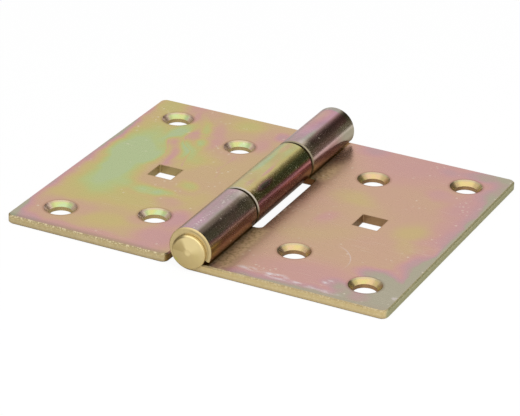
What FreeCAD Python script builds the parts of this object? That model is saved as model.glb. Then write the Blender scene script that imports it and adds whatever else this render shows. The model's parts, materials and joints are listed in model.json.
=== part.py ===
"""Loose-pin butt hinge of rolled sheet steel, lying open on its back.

X runs across the leaves, Y along the pin and Z up. The origin lies in the plane of
the leaves' backs, under the middle of the pin. All sizes are in millimetres.
"""

import FreeCAD, Part
import math
import os
import Sketcher

SIZES = {
    "leaf_length": 100.0,
    "leaf_reach": 63.0,
    "sheet_thickness": 2.8,
    "corner_radius": 2.2,
    "pin_diameter": 8.0,
    "bore_clearance": 0.1,
    "curl_gap": 1.2,
    "middle_knuckle": 36.9,
    "knuckle_gap": 1.15,
    "leaf_shift": 0.5,
    "window_reach": 8.1,
    "window_radius": 1.5,
    "front_break": 0.4,
    "back_break": 0.35,
    "screw_diameter": 7.2,
    "sink_diameter": 10.3,
    "sink_angle": 90.0,
    "outer_hole_reach": 51.0,
    "outer_hole_spacing": 75.6,
    "inner_hole_reach": 23.6,
    "inner_hole_spacing": 56.8,
    "square_reach": 35.3,
    "square_side": 8.3,
    "square_round": 0.4,
    "head_diameter": 10.8,
    "head_drop": 0.6,
    "head_gap": 0.1,
    "head_rim": 0.7,
    "head_bevel": 0.3,
    "head_crown": 0.4,
    "tail_proud": 1.0,
    "tail_chamfer": 0.8,
    "cut_margin": 1.0,
}

AXIS_HEIGHT = "(sizes.sheet_thickness + sizes.pin_diameter / 2 + sizes.bore_clearance)"
BORE_RADIUS = "(sizes.pin_diameter / 2 + sizes.bore_clearance)"
WINDOW_HALF = "(sizes.middle_knuckle / 2 + sizes.knuckle_gap)"
TOLERANCE = 0.001


class Reference:
    """A sketch's own fixed geometry, as its constraints name it."""

    ORIGIN = (-1, 1)
    UPRIGHT_AXIS = -2


doc = FreeCAD.newDocument("hinge")
sheet = doc.addObject("Spreadsheet::Sheet", "sizes")
for row, (word, number) in enumerate(SIZES.items(), start=1):
    sheet.set(f"A{row}", word)
    sheet.set(f"B{row}", str(number))
    sheet.setAlias(f"B{row}", word)
doc.recompute()


def size(word):
    """The driving dimension that the sheet holds under this word."""
    return float(sheet.get(word))


bore_radius = size("pin_diameter") / 2 + size("bore_clearance")
axis_height = size("sheet_thickness") + bore_radius
half_length = size("leaf_length") / 2
window_half = size("middle_knuckle") / 2 + size("knuckle_gap")


def new_body(label):
    body = doc.addObject("PartDesign::Body", label)
    body.Label = label
    return body


def new_sketch(body, name, plane_role, height=None):
    """A sketch on one of the body's origin planes, lifted off it by an expression."""
    sketch = body.newObject("Sketcher::SketchObject", name)
    plane = next(p for p in body.Origin.OriginFeatures if p.Role == plane_role)
    sketch.AttachmentSupport = (plane, [""])
    sketch.MapMode = "FlatFace"
    if height:
        sketch.setExpression("AttachmentOffset.Base.z", height)
    return sketch


def point(x, y):
    return FreeCAD.Vector(x, y, 0)


def bind(sketch, name, expression, kind, *references):
    """A named dimension of the sketch, tied to the sheet by an expression."""
    index = sketch.addConstraint(Sketcher.Constraint(kind, *references))
    sketch.renameConstraint(index, name)
    sketch.setExpression(f"Constraints.{name}", expression)


def polygon(sketch, corners):
    """A closed chain of straight lines, each one's end joined to the next one's start."""
    first = sketch.GeometryCount
    count = len(corners)
    for start, end in zip(corners, corners[1:] + corners[:1]):
        sketch.addGeometry(Part.LineSegment(point(*start), point(*end)), False)
    for line in range(count):
        following = first + (line + 1) % count
        sketch.addConstraint(Sketcher.Constraint("Coincident", first + line, 2, following, 1))
    return first


def rectangle(sketch, name, low, high, expressions):
    """An upright rectangle from the corner low to the corner high.

    The four expressions give the distances of its left, right, lower and upper side
    from the sketch's origin, all positive.
    """
    corners = [low, (high[0], low[1]), high, (low[0], high[1])]
    bottom = polygon(sketch, corners)
    right, top, left = bottom + 1, bottom + 2, bottom + 3
    sketch.addConstraint(Sketcher.Constraint("Horizontal", bottom))
    sketch.addConstraint(Sketcher.Constraint("Horizontal", top))
    sketch.addConstraint(Sketcher.Constraint("Vertical", right))
    sketch.addConstraint(Sketcher.Constraint("Vertical", left))
    sides = (
        ("left", "DistanceX", left, low[0]),
        ("right", "DistanceX", right, high[0]),
        ("lower", "DistanceY", bottom, low[1]),
        ("upper", "DistanceY", top, high[1]),
    )
    for (side, kind, line, place), expression in zip(sides, expressions):
        ends = ((line, 1) + Reference.ORIGIN) if place < 0 else (Reference.ORIGIN + (line, 1))
        bind(sketch, f"{name}_{side}", expression, kind, *ends, abs(place))


def leaf_profile(body):
    """The sheet seen along the pin: flat leaf, round the pin, down to the free lip."""
    sketch = new_sketch(body, f"{body.Label}_profile", "XZ_Plane")
    thickness = size("sheet_thickness")
    reach = size("leaf_reach")
    lip_outside = math.asin((thickness + size("curl_gap") - axis_height) / axis_height)
    foot = 1.5 * math.pi
    around = FreeCAD.Vector(0, 0, 1)
    centre = point(0, axis_height)

    def ring(radius):
        return Part.ArcOfCircle(Part.Circle(centre, around, radius), lip_outside, foot)

    def on_ring(radius, angle):
        return point(radius * math.cos(angle), axis_height + radius * math.sin(angle))

    shapes = [
        Part.LineSegment(point(reach, 0), point(0, 0)),
        ring(axis_height),
        Part.LineSegment(on_ring(axis_height, lip_outside), on_ring(bore_radius, lip_outside)),
        ring(bore_radius),
        Part.LineSegment(point(0, thickness), point(reach, thickness)),
        Part.LineSegment(point(reach, thickness), point(reach, 0)),
    ]
    back, outside, lip, bore, front, edge = sketch.addGeometry(shapes, False)
    rules = [
        ("Coincident", back, 1, edge, 2),
        ("Coincident", back, 2, outside, 2),
        ("Coincident", outside, 1, lip, 1),
        ("Coincident", lip, 2, bore, 1),
        ("Coincident", bore, 2, front, 1),
        ("Coincident", front, 2, edge, 1),
        ("Coincident", outside, 3, bore, 3),
        ("Coincident", back, 2) + Reference.ORIGIN,
        ("PointOnObject", outside, 3, Reference.UPRIGHT_AXIS),
        ("PointOnObject", bore, 2, Reference.UPRIGHT_AXIS),
        ("PointOnObject", outside, 3, lip),
        ("Horizontal", back),
        ("Horizontal", front),
        ("Vertical", edge),
    ]
    for rule in rules:
        sketch.addConstraint(Sketcher.Constraint(*rule))
    bind(sketch, "reach", "sizes.leaf_reach", "DistanceX", *Reference.ORIGIN, back, 1, reach)
    bind(sketch, "thickness", "sizes.sheet_thickness", "DistanceY", *Reference.ORIGIN, front, 1, thickness)
    bind(sketch, "bore", BORE_RADIUS, "Radius", bore, bore_radius)
    bind(
        sketch, "lip_height", "sizes.sheet_thickness + sizes.curl_gap",
        "DistanceY", *Reference.ORIGIN, outside, 1, thickness + size("curl_gap"),
    )
    return sketch


def through_cut(body, sketch, name):
    """A pocket through the whole body, both ways from its sketch."""
    before = body.Shape.Volume
    pocket = body.newObject("PartDesign::Pocket", name)
    pocket.Profile = sketch
    pocket.Type = "ThroughAll"
    pocket.Midplane = True
    doc.recompute()
    if body.Shape.Volume >= before:
        raise ValueError(f"{name} removes nothing")
    return pocket


def dress_edges(body, name, kind, dimension, word, wanted):
    """A fillet or chamfer on every edge that the test picks from the body as it is."""
    base = body.Tip
    picked = [f"Edge{n}" for n, edge in enumerate(base.Shape.Edges, start=1) if wanted(edge)]
    if not picked:
        raise ValueError(f"{name} finds no edge")
    feature = body.newObject(kind, name)
    feature.Base = (base, picked)
    feature.setExpression(dimension, f"sizes.{word}")
    doc.recompute()


def round_edges(body, name, radius_word, wanted):
    dress_edges(body, name, "PartDesign::Fillet", "Radius", radius_word, wanted)


def break_edges(body, name, size_word, wanted):
    dress_edges(body, name, "PartDesign::Chamfer", "Size", size_word, wanted)


def near(value, target):
    return abs(value - target) < TOLERANCE


def upright_at(edge, reach, sideways):
    """Whether the edge stands upright in the sheet, this far out and this far sideways."""
    ends = [vertex.Point for vertex in edge.Vertexes]
    if len(ends) != 2 or not near(ends[0].y, ends[1].y):
        return False
    return all(near(end.x, reach) for end in ends) and any(
        near(abs(ends[0].y), place) for place in sideways
    )


def level_at(edge, height):
    """Whether the whole edge lies at this height."""
    return near(edge.BoundBox.ZMin, height) and near(edge.BoundBox.ZMax, height)


def screw_holes(body):
    """Two pairs of countersunk holes, the outer pair wider apart than the inner one."""
    before = body.Shape.Volume
    sketch = new_sketch(body, f"{body.Label}_screws", "XY_Plane", "sizes.sheet_thickness")
    for pair in ("outer", "inner"):
        reach = size(f"{pair}_hole_reach")
        half = size(f"{pair}_hole_spacing") / 2
        for end, sign in (("near", -1), ("far", 1)):
            circle = Part.Circle(
                point(reach, sign * half), FreeCAD.Vector(0, 0, 1), size("screw_diameter") / 2
            )
            hole = sketch.addGeometry(circle, False)
            upward = Reference.ORIGIN + (hole, 3) if sign > 0 else (hole, 3) + Reference.ORIGIN
            name = f"{pair}_{end}"
            bind(
                sketch, f"{name}_reach", f"sizes.{pair}_hole_reach",
                "DistanceX", *Reference.ORIGIN, hole, 3, reach,
            )
            bind(
                sketch, f"{name}_half", f"sizes.{pair}_hole_spacing / 2",
                "DistanceY", *upward, half,
            )
            bind(
                sketch, f"{name}_bore", "sizes.screw_diameter / 2",
                "Radius", hole, size("screw_diameter") / 2,
            )
    doc.recompute()
    holes = body.newObject("PartDesign::Hole", f"{body.Label}_screw_holes")
    holes.Profile = sketch
    doc.recompute()
    holes.ThreadType = "None"
    holes.DepthType = "ThroughAll"
    holes.HoleCutType = "Countersink"
    holes.HoleCutCustomValues = True
    holes.setExpression("Diameter", "sizes.screw_diameter")
    holes.setExpression("HoleCutDiameter", "sizes.sink_diameter")
    holes.setExpression("HoleCutCountersinkAngle", "sizes.sink_angle")
    doc.recompute()
    if body.Shape.Volume >= before:
        raise ValueError("the screw holes remove nothing")


def square_hole(body):
    """The square hole, for the square neck of a coach bolt."""
    sketch = new_sketch(body, f"{body.Label}_square", "XY_Plane")
    half = size("square_side") / 2
    reach = size("square_reach")
    rectangle(
        sketch, "square", (reach - half, -half), (reach + half, half),
        (
            "sizes.square_reach - sizes.square_side / 2",
            "sizes.square_reach + sizes.square_side / 2",
            "sizes.square_side / 2",
            "sizes.square_side / 2",
        ),
    )
    through_cut(body, sketch, f"{body.Label}_square_hole")
    reaches = (reach - half, reach + half)

    def square_corner(edge):
        return any(upright_at(edge, place, [half]) for place in reaches)

    round_edges(body, f"{body.Label}_square_corners", "square_round", square_corner)


def leaf(label, windows):
    """A leaf reaching towards +X, with these windows cut for the other leaf's knuckles.

    Each window is its name, its low and high side as numbers, and the two expressions
    for their distances from the middle.
    """
    body = new_body(label)
    profile = leaf_profile(body)
    blank = body.newObject("PartDesign::Pad", f"{label}_blank")
    blank.Profile = profile
    blank.Midplane = True
    blank.setExpression("Length", "sizes.leaf_length")
    doc.recompute()

    behind = axis_height + size("cut_margin")
    sketch = new_sketch(body, f"{label}_windows", "XY_Plane")
    for name, low, high, low_expression, high_expression in windows:
        rectangle(
            sketch, name, (-behind, low), (size("window_reach"), high),
            (f"{AXIS_HEIGHT} + sizes.cut_margin", "sizes.window_reach", low_expression, high_expression),
        )
    through_cut(body, sketch, f"{label}_window_cut")

    sides = [abs(place) for window in windows for place in window[1:3]]
    inner_sides = [place for place in sides if place < half_length]
    has_end_windows = any(place > half_length for place in sides)

    def blank_corner(edge):
        outer = upright_at(edge, size("leaf_reach"), [half_length])
        return outer or (has_end_windows and upright_at(edge, size("window_reach"), [half_length]))

    def window_corner(edge):
        return upright_at(edge, size("window_reach"), inner_sides)

    def front_edge(edge):
        return level_at(edge, size("sheet_thickness"))

    def back_edge(edge):
        return level_at(edge, 0)

    round_edges(body, f"{label}_corners", "corner_radius", blank_corner)
    round_edges(body, f"{label}_window_corners", "window_radius", window_corner)
    break_edges(body, f"{label}_front_edges", "front_break", front_edge)
    break_edges(body, f"{label}_back_edges", "back_break", back_edge)
    square_hole(body)
    screw_holes(body)
    return body


def right_leaf():
    """The leaf with the two end knuckles, and one window between them."""
    return leaf(
        "right_leaf",
        [("middle", -window_half, window_half, WINDOW_HALF, WINDOW_HALF)],
    )


def left_leaf():
    """The leaf with the middle knuckle, turned about.

    Its sheet is cut a little off the middle of its knuckle, and stands out at the far end.
    """
    half = size("middle_knuckle") / 2
    shift = size("leaf_shift")
    beyond = half_length + size("cut_margin")
    beyond_rule = "sizes.leaf_length / 2 + sizes.cut_margin"
    body = leaf(
        "left_leaf",
        [
            ("near", -beyond, shift - half, beyond_rule, "sizes.middle_knuckle / 2 - sizes.leaf_shift"),
            ("far", shift + half, beyond, "sizes.middle_knuckle / 2 + sizes.leaf_shift", beyond_rule),
        ],
    )
    body.Placement = FreeCAD.Placement(
        FreeCAD.Vector(0, shift, 0), FreeCAD.Rotation(FreeCAD.Vector(0, 0, 1), 180)
    )
    body.setExpression("Placement.Base.y", "sizes.leaf_shift")
    return body


def turned_profile(sketch, places, expressions):
    """A closed outline right of the sketch's upright axis.

    Each place is a radius and a position along the axis. The expressions give the
    distance of each from the origin, or None where it lies on the axis.
    """
    first = polygon(sketch, places)
    for number, ((radius, along), (radius_rule, along_rule)) in enumerate(zip(places, expressions)):
        corner = (first + number, 1)
        if radius_rule is None:
            sketch.addConstraint(Sketcher.Constraint("PointOnObject", *corner, Reference.UPRIGHT_AXIS))
        else:
            bind(sketch, f"radius_{number}", radius_rule, "DistanceX", *Reference.ORIGIN, *corner, radius)
        ends = corner + Reference.ORIGIN if along < 0 else Reference.ORIGIN + corner
        bind(sketch, f"along_{number}", along_rule, "DistanceY", *ends, abs(along))


def revolve(body, sketch, name):
    feature = body.newObject("PartDesign::Revolution", name)
    feature.Profile = sketch
    feature.ReferenceAxis = (sketch, ["V_Axis"])
    feature.Angle = 360
    doc.recompute()


def hinge_pin():
    """The headed pin: a chamfered shank, and a low conical head upset a little off its axis."""
    body = new_body("pin")
    radius = size("pin_diameter") / 2
    tail = half_length + size("tail_proud")
    chamfer = size("tail_chamfer")
    under_head = -half_length - size("head_gap")
    tail_rule = "sizes.leaf_length / 2 + sizes.tail_proud"
    under_rule = "sizes.leaf_length / 2 + sizes.head_gap"
    rim_rule = f"{under_rule} + sizes.head_rim"
    bevel_rule = f"{rim_rule} + sizes.head_bevel"
    shank = new_sketch(body, "shank_profile", "XY_Plane")
    turned_profile(
        shank,
        [
            (0, under_head - size("head_rim")),
            (radius, under_head - size("head_rim")),
            (radius, tail - chamfer),
            (radius - chamfer, tail),
            (0, tail),
        ],
        [
            (None, rim_rule),
            ("sizes.pin_diameter / 2", rim_rule),
            ("sizes.pin_diameter / 2", f"{tail_rule} - sizes.tail_chamfer"),
            ("sizes.pin_diameter / 2 - sizes.tail_chamfer", tail_rule),
            (None, tail_rule),
        ],
    )
    revolve(body, shank, "shank")

    head_radius = size("head_diameter") / 2
    rim = under_head - size("head_rim")
    bevel = rim - size("head_bevel")
    head = new_sketch(body, "head_profile", "XY_Plane", "-sizes.head_drop")
    turned_profile(
        head,
        [
            (0, under_head),
            (0, bevel - size("head_crown")),
            (head_radius - size("head_bevel"), bevel),
            (head_radius, rim),
            (head_radius, under_head),
        ],
        [
            (None, under_rule),
            (None, f"{bevel_rule} + sizes.head_crown"),
            ("sizes.head_diameter / 2 - sizes.head_bevel", bevel_rule),
            ("sizes.head_diameter / 2", rim_rule),
            ("sizes.head_diameter / 2", under_rule),
        ],
    )
    revolve(body, head, "head")
    body.setExpression("Placement.Base.z", AXIS_HEIGHT)
    return body


def check(pieces):
    """Stops if any feature failed or any piece isn't one valid solid."""
    failed = [o.Name for o in doc.Objects if {"Invalid", "Error"} & set(o.State)]
    if failed:
        raise RuntimeError(f"failed: {failed}")
    for piece in pieces:
        shape = piece.Shape
        if shape.isNull() or not shape.isValid() or len(shape.Solids) != 1:
            raise RuntimeError(f"{piece.Label} isn't one valid solid")


pieces = [right_leaf(), left_leaf(), hinge_pin()]
doc.recompute()
check(pieces)
os.makedirs("parts", exist_ok=True)
for piece in pieces:
    piece.Shape.exportStep(f"parts/{piece.Label}.step")
    print(piece.Label, round(piece.Shape.Volume, 1), piece.Shape.BoundBox)
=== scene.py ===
"""Looks of an open butt hinge in yellow-passivated steel, lying on its back.

X runs across the leaves, Y along the pin and Z up, in metres, as in the frame.
"""

import json
import math

import bpy
from mathutils import Matrix, Vector

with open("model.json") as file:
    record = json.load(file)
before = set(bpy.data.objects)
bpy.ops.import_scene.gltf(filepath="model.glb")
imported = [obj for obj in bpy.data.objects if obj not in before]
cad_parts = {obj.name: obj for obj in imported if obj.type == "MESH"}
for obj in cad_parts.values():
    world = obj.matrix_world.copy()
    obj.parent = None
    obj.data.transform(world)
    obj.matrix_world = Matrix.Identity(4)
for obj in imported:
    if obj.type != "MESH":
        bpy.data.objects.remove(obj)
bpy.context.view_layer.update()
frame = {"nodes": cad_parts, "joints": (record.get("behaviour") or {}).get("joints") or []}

bl_info = {
    "name": "Passivated Hinge",
    "version": (1, 0, 0),
    "blender": (4, 5, 0),
    "location": "3D Viewport > Sidebar > Hinge",
    "description": "Dresses a packed steel hinge and sets it up for its picture",
    "category": "Object",
}

MM = 0.001
WHITE = (1.0, 1.0, 1.0, 1.0)
GRAZING_TINT = (0.80, 0.76, 0.70, 1.0)
PIN_AXIS_HEIGHT = frame["joints"][0]["pos_m"][2]
HEAD_DROP = 0.6 * MM
HEAD_AXIS_HEIGHT = PIN_AXIS_HEIGHT - HEAD_DROP
SHEET_THICKNESS = 2.8 * MM

# The picture's width in pixels, and where the camera stood for it.
PICTURE_WIDTH = 520
SENSOR_WIDTH = 36.0
FOCAL_PIXELS = 2693.9
CAMERA_AZIMUTH = math.radians(25.794)
CAMERA_ELEVATION = math.radians(26.044)
CAMERA_ROLL = math.radians(1.736)
CAMERA_DISTANCE = 827.92 * MM
CAMERA_TARGET = Vector((-0.62, -2.44, 0.0)) * MM
CAMERA_CLIP = (0.05, 20)

# The floor lies just under the leaves' backs. Its own white gives up this share of the shadow.
FLOOR_HEIGHT = -0.02 * MM
FLOOR_GLOW_CUT = 0.9
# The cards show only in the metal.
DARK_CARD = (0.085, 0.075, 0.045, 1.0)
GREY_CARD = (0.40, 0.38, 0.34, 1.0)


def srgb(red, green, blue):
    """A colour given as it shows on a screen, 0 to 255, in linear light."""
    def linear(level):
        level /= 255
        return level / 12.92 if level <= 0.04045 else ((level + 0.055) / 1.055) ** 2.4

    return (linear(red), linear(green), linear(blue), 1.0)


class FilmSettings(bpy.types.PropertyGroup):
    """The passivation film on the zinc."""

    roughness: bpy.props.FloatProperty(
        name="Roughness", description="Roughness of the flat leaf faces",
        default=0.27, min=0.0, max=1.0, subtype="FACTOR",
    )
    mottle: bpy.props.FloatProperty(
        name="Mottle", description="How far the film's thickness wanders by chance",
        default=0.08, min=0.0, max=1.0, subtype="FACTOR",
    )
    wear: bpy.props.FloatProperty(
        name="Wear", description="How much the scratches and nicks show",
        default=0.5, min=0.0, max=1.0, subtype="FACTOR",
    )
    mottle_size: bpy.props.FloatProperty(
        name="Mottle size", description="Length of one swell of the film",
        default=22 * MM, min=MM, subtype="DISTANCE", unit="LENGTH",
    )
    edge_colour: bpy.props.FloatVectorProperty(
        name="Cut edge", description="Colour of the sheared edges",
        default=srgb(238, 220, 172), size=4, min=0.0, max=1.0, subtype="COLOR",
    )
    pin_colour: bpy.props.FloatVectorProperty(
        name="Pin", description="Colour of the pin's head",
        default=srgb(200, 178, 122), size=4, min=0.0, max=1.0, subtype="COLOR",
    )


class StageSettings(bpy.types.PropertyGroup):
    """The floor and the light."""

    floor_size: bpy.props.FloatProperty(
        name="Floor", description="Side of the square floor",
        default=6.0, min=0.5, subtype="DISTANCE", unit="LENGTH",
    )
    shadow: bpy.props.FloatProperty(
        name="Shadow", description="Share of the floor's light that a shadow can take away",
        default=0.08, min=0.0, max=1.0, subtype="FACTOR",
    )
    floor_paleness: bpy.props.FloatProperty(
        name="Floor paleness", description="How pale the floor looks in the metal",
        default=0.85, min=0.0, max=1.0, subtype="FACTOR",
    )
    room_light: bpy.props.FloatProperty(
        name="Room light", description="Strength of the soft light from all round",
        default=0.55, min=0.0,
    )
    softbox_light: bpy.props.FloatProperty(
        name="Softbox light", description="Power of the large lamp overhead, in watts",
        default=8.5, min=0.0,
    )
    key_light: bpy.props.FloatProperty(
        name="Key light", description="Power of the lamp at the front right, in watts",
        default=0.9, min=0.0,
    )


def new_group(name, inputs, outputs):
    """A shader node group with these sockets, and its input and output nodes."""
    tree = bpy.data.node_groups.new(name, "ShaderNodeTree")
    for label, kind, default in inputs:
        socket = tree.interface.new_socket(name=label, in_out="INPUT", socket_type=kind)
        if default is not None:
            socket.default_value = default
    for label, kind in outputs:
        tree.interface.new_socket(name=label, in_out="OUTPUT", socket_type=kind)
    return tree, tree.nodes.new("NodeGroupInput"), tree.nodes.new("NodeGroupOutput")


class Wiring:
    """Short ways to add and join nodes in one tree."""

    def __init__(self, tree):
        self.tree = tree

    def put(self, socket, value):
        """Joins a node's output to the socket, or writes a plain value there."""
        if isinstance(value, bpy.types.NodeSocket):
            self.tree.links.new(value, socket)
        elif value is not None:
            socket.default_value = value

    def node(self, kind, values=None, **settings):
        """A node of this kind, with these values on its sockets and these settings."""
        node = self.tree.nodes.new(kind)
        for key, setting in settings.items():
            setattr(node, key, setting)
        for key, value in (values or {}).items():
            self.put(node.inputs[key], value)
        return node

    def group(self, tree, values):
        """A placed node group, with these values on its sockets."""
        node = self.tree.nodes.new("ShaderNodeGroup")
        node.node_tree = tree
        for key, value in values.items():
            self.put(node.inputs[key], value)
        return node

    def math(self, operation, first, second=None, third=None, clamp=False):
        node = self.node("ShaderNodeMath", operation=operation, use_clamp=clamp)
        for socket, value in zip(node.inputs, (first, second, third)):
            self.put(socket, value)
        return node.outputs[0]

    def times(self, first, *others):
        """The product of all these values."""
        for other in others:
            first = self.math("MULTIPLY", first, other)
        return first

    def less(self, first, second):
        return self.math("SUBTRACT", first, second)

    def size(self, value):
        return self.math("ABSOLUTE", value)

    def vector(self, operation, first, second=None, output=0):
        node = self.node("ShaderNodeVectorMath", operation=operation)
        self.put(node.inputs[0], first)
        self.put(node.inputs[1], second)
        return node.outputs[output]

    def scaled(self, vector, factor):
        return self.node("ShaderNodeVectorMath", {0: vector, "Scale": factor}, operation="SCALE").outputs[0]

    def stretched(self, vector, scale):
        return self.node("ShaderNodeMapping", {"Vector": vector, "Scale": scale}).outputs[0]

    def split(self, vector):
        return self.node("ShaderNodeSeparateXYZ", {0: vector}).outputs

    def join(self, x, y):
        return self.node("ShaderNodeCombineXYZ", {"X": x, "Y": y}).outputs[0]

    def mix(self, factor, first, second, blend="MIX"):
        node = self.node("ShaderNodeMix", data_type="RGBA", blend_type=blend)
        self.put(node.inputs[0], factor)
        self.put(node.inputs[6], first)
        self.put(node.inputs[7], second)
        return node.outputs[2]

    def tint(self, factor, colour, tint):
        """The colour, multiplied by the tint where the factor is one."""
        return self.mix(factor, colour, tint, "MULTIPLY")

    def fade(self, value, low, high, start=0.0, end=1.0):
        """Start below low, end above high, and a soft step between."""
        node = self.node("ShaderNodeMapRange", interpolation_type="SMOOTHSTEP")
        span = {"Value": value, "From Min": low, "From Max": high, "To Min": start, "To Max": end}
        for key, given in span.items():
            self.put(node.inputs[key], given)
        return node.outputs["Result"]

    def noise(self, vector, scale, detail=2.0, roughness=0.5, output="Fac"):
        values = {"Vector": vector, "Scale": scale, "Detail": detail, "Roughness": roughness}
        return self.node("ShaderNodeTexNoise", values).outputs[output]


def named_group(name, build):
    """The node group of this name, built when it is first asked for."""
    return bpy.data.node_groups.get(name) or build()


def bare_material(name):
    """A new material without nodes, and the wiring of its tree."""
    material = bpy.data.materials.new(name)
    material.use_nodes = True
    material.node_tree.nodes.clear()
    return material, Wiring(material.node_tree)


def show(w, shader):
    """Joins a shader to the material's output."""
    out = w.node("ShaderNodeOutputMaterial")
    w.tree.links.new(shader.outputs[0], out.inputs["Surface"])


# The film's colours as it gets thicker: the place from 0 to 1, and the colour there.
FILM_STEPS = (
    (0.00, srgb(172, 166, 146)),
    (0.07, srgb(181, 158, 150)),
    (0.15, srgb(190, 153, 156)),
    (0.25, srgb(199, 153, 153)),
    (0.36, srgb(202, 158, 146)),
    (0.46, srgb(201, 165, 139)),
    (0.56, srgb(200, 171, 132)),
    (0.67, srgb(199, 178, 122)),
    (0.77, srgb(193, 183, 119)),
    (0.87, srgb(184, 189, 126)),
    (0.94, srgb(180, 192, 132)),
    (1.00, srgb(177, 192, 145)),
)
# Where a patch starts to fade and where it is gone, in shares of its radii.
PATCH_RIM = (0.25, 1.15)


def film_colour_group():
    """The colours that the passivation film runs through as it gets thicker."""
    tree, given, result = new_group(
        "film_colour", [("Thickness", "NodeSocketFloat", 0.5)], [("Color", "NodeSocketColor")]
    )
    ramp = tree.nodes.new("ShaderNodeValToRGB")
    points = ramp.color_ramp.elements
    while len(points) < len(FILM_STEPS):
        points.new(1.0)
    for point, (place, colour) in zip(points, FILM_STEPS):
        point.position = place
        point.color = colour
    tree.links.new(given.outputs["Thickness"], ramp.inputs["Fac"])
    tree.links.new(ramp.outputs["Color"], result.inputs["Color"])
    return tree


def patch_group():
    """A soft oval patch, full in its middle and gone at its rim."""
    tree, given, result = new_group(
        "film_patch",
        [
            ("Position", "NodeSocketVector", None),
            ("Centre", "NodeSocketVector", None),
            ("Radii", "NodeSocketVector", (0.01, 0.01, 1.0)),
            ("Turn", "NodeSocketFloat", 0.0),
            ("Strength", "NodeSocketFloat", 1.0),
        ],
        [("Value", "NodeSocketFloat")],
    )
    w = Wiring(tree)
    offset = w.vector("SUBTRACT", given.outputs["Position"], given.outputs["Centre"])
    turned = w.node(
        "ShaderNodeVectorRotate",
        {"Vector": offset, "Angle": given.outputs["Turn"]},
        rotation_type="Z_AXIS",
        invert=True,
    ).outputs[0]
    reach = w.vector("LENGTH", w.vector("DIVIDE", turned, given.outputs["Radii"]), output=1)
    w.put(result.inputs["Value"], w.times(w.fade(reach, *PATCH_RIM, 1.0, 0.0), given.outputs["Strength"]))
    return tree


def line_group():
    """A thin soft line between two points."""
    tree, given, result = new_group(
        "film_line",
        [
            ("Position", "NodeSocketVector", None),
            ("Start", "NodeSocketVector", None),
            ("End", "NodeSocketVector", None),
            ("Width", "NodeSocketFloat", 0.0005),
        ],
        [("Value", "NodeSocketFloat")],
    )
    w = Wiring(tree)
    along = w.vector("SUBTRACT", given.outputs["End"], given.outputs["Start"])
    offset = w.vector("SUBTRACT", given.outputs["Position"], given.outputs["Start"])
    done = w.vector("DOT_PRODUCT", offset, along, 1)
    whole = w.vector("DOT_PRODUCT", along, along, 1)
    nearest = w.scaled(along, w.math("DIVIDE", done, whole, clamp=True))
    distance = w.vector("LENGTH", w.vector("SUBTRACT", offset, nearest), output=1)
    w.put(result.inputs["Value"], w.fade(distance, 0.0, given.outputs["Width"], 1.0, 0.0))
    return tree


# Fine scratches: the angle in degrees, how close they lie and how often they gather.
SCRATCH_SETS = ((35.0, 3100.0, 38.0), (-52.0, 3900.0, 51.0), (8.0, 3600.0, 44.0))
SCRATCH_STRETCH = (0.035, 1.0, 1.0)


def scratches_group():
    """Fine straight scratches and small bright nicks, as two masks."""
    tree, given, result = new_group(
        "scratches",
        [("Position", "NodeSocketVector", None)],
        [("Lines", "NodeSocketFloat"), ("Nicks", "NodeSocketFloat")],
    )
    w = Wiring(tree)
    position = given.outputs["Position"]
    lines = 0.0
    for angle, closeness, gathering in SCRATCH_SETS:
        turned = w.node(
            "ShaderNodeMapping",
            {"Vector": position, "Rotation": (0.0, 0.0, math.radians(angle)), "Scale": SCRATCH_STRETCH},
        ).outputs[0]
        streak = w.noise(turned, closeness, detail=0.0)
        place = w.noise(w.vector("ADD", position, (angle * MM, 0.0, 0.0)), gathering, detail=1.0)
        line = w.times(w.fade(streak, 0.70, 0.78), w.fade(place, 0.52, 0.66))
        lines = w.math("MAXIMUM", lines, line)
    specks = w.node("ShaderNodeTexVoronoi", {"Vector": position, "Scale": 560.0}).outputs["Distance"]
    chance = w.noise(position, 150.0)
    w.put(result.inputs["Lines"], lines)
    w.put(result.inputs["Nicks"], w.times(w.fade(specks, 0.12, 0.30, 1.0, 0.0), w.fade(chance, 0.56, 0.68)))
    return tree


def sheared_edge_group():
    """The drawn and torn face of a blanked edge: upright streaks, and a rougher lower part."""
    tree, given, result = new_group(
        "sheared_edge",
        [("Position", "NodeSocketVector", None), ("Thickness", "NodeSocketFloat", SHEET_THICKNESS)],
        [("Shade", "NodeSocketFloat"), ("Height", "NodeSocketFloat"), ("Sparkle", "NodeSocketFloat")],
    )
    w = Wiring(tree)
    position = given.outputs["Position"]
    streaks = w.noise(w.stretched(position, (1.0, 1.0, 0.12)), 900.0, detail=3.0, roughness=0.65)
    lumps = w.noise(position, 260.0, detail=3.0, roughness=0.6)
    level = w.math("DIVIDE", w.split(position)["Z"], given.outputs["Thickness"])
    torn = w.fade(w.math("ADD", level, w.times(lumps, 0.5)), 0.55, 0.95, 1.0, 0.0)
    height = w.math("ADD", w.times(streaks, 0.5), w.times(lumps, torn, 0.9))
    # Painted glints: bright specks in a band just below the top of the edge.
    glints = w.noise(position, 1900.0, detail=1.0)
    band = w.times(w.fade(level, 0.55, 0.75), w.fade(level, 0.98, 1.02, 1.0, 0.0))
    w.put(result.inputs["Height"], height)
    w.put(result.inputs["Shade"], w.fade(height, 0.2, 0.75))
    w.put(result.inputs["Sparkle"], w.times(w.fade(glints, 0.52, 0.62), band))
    return tree
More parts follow.
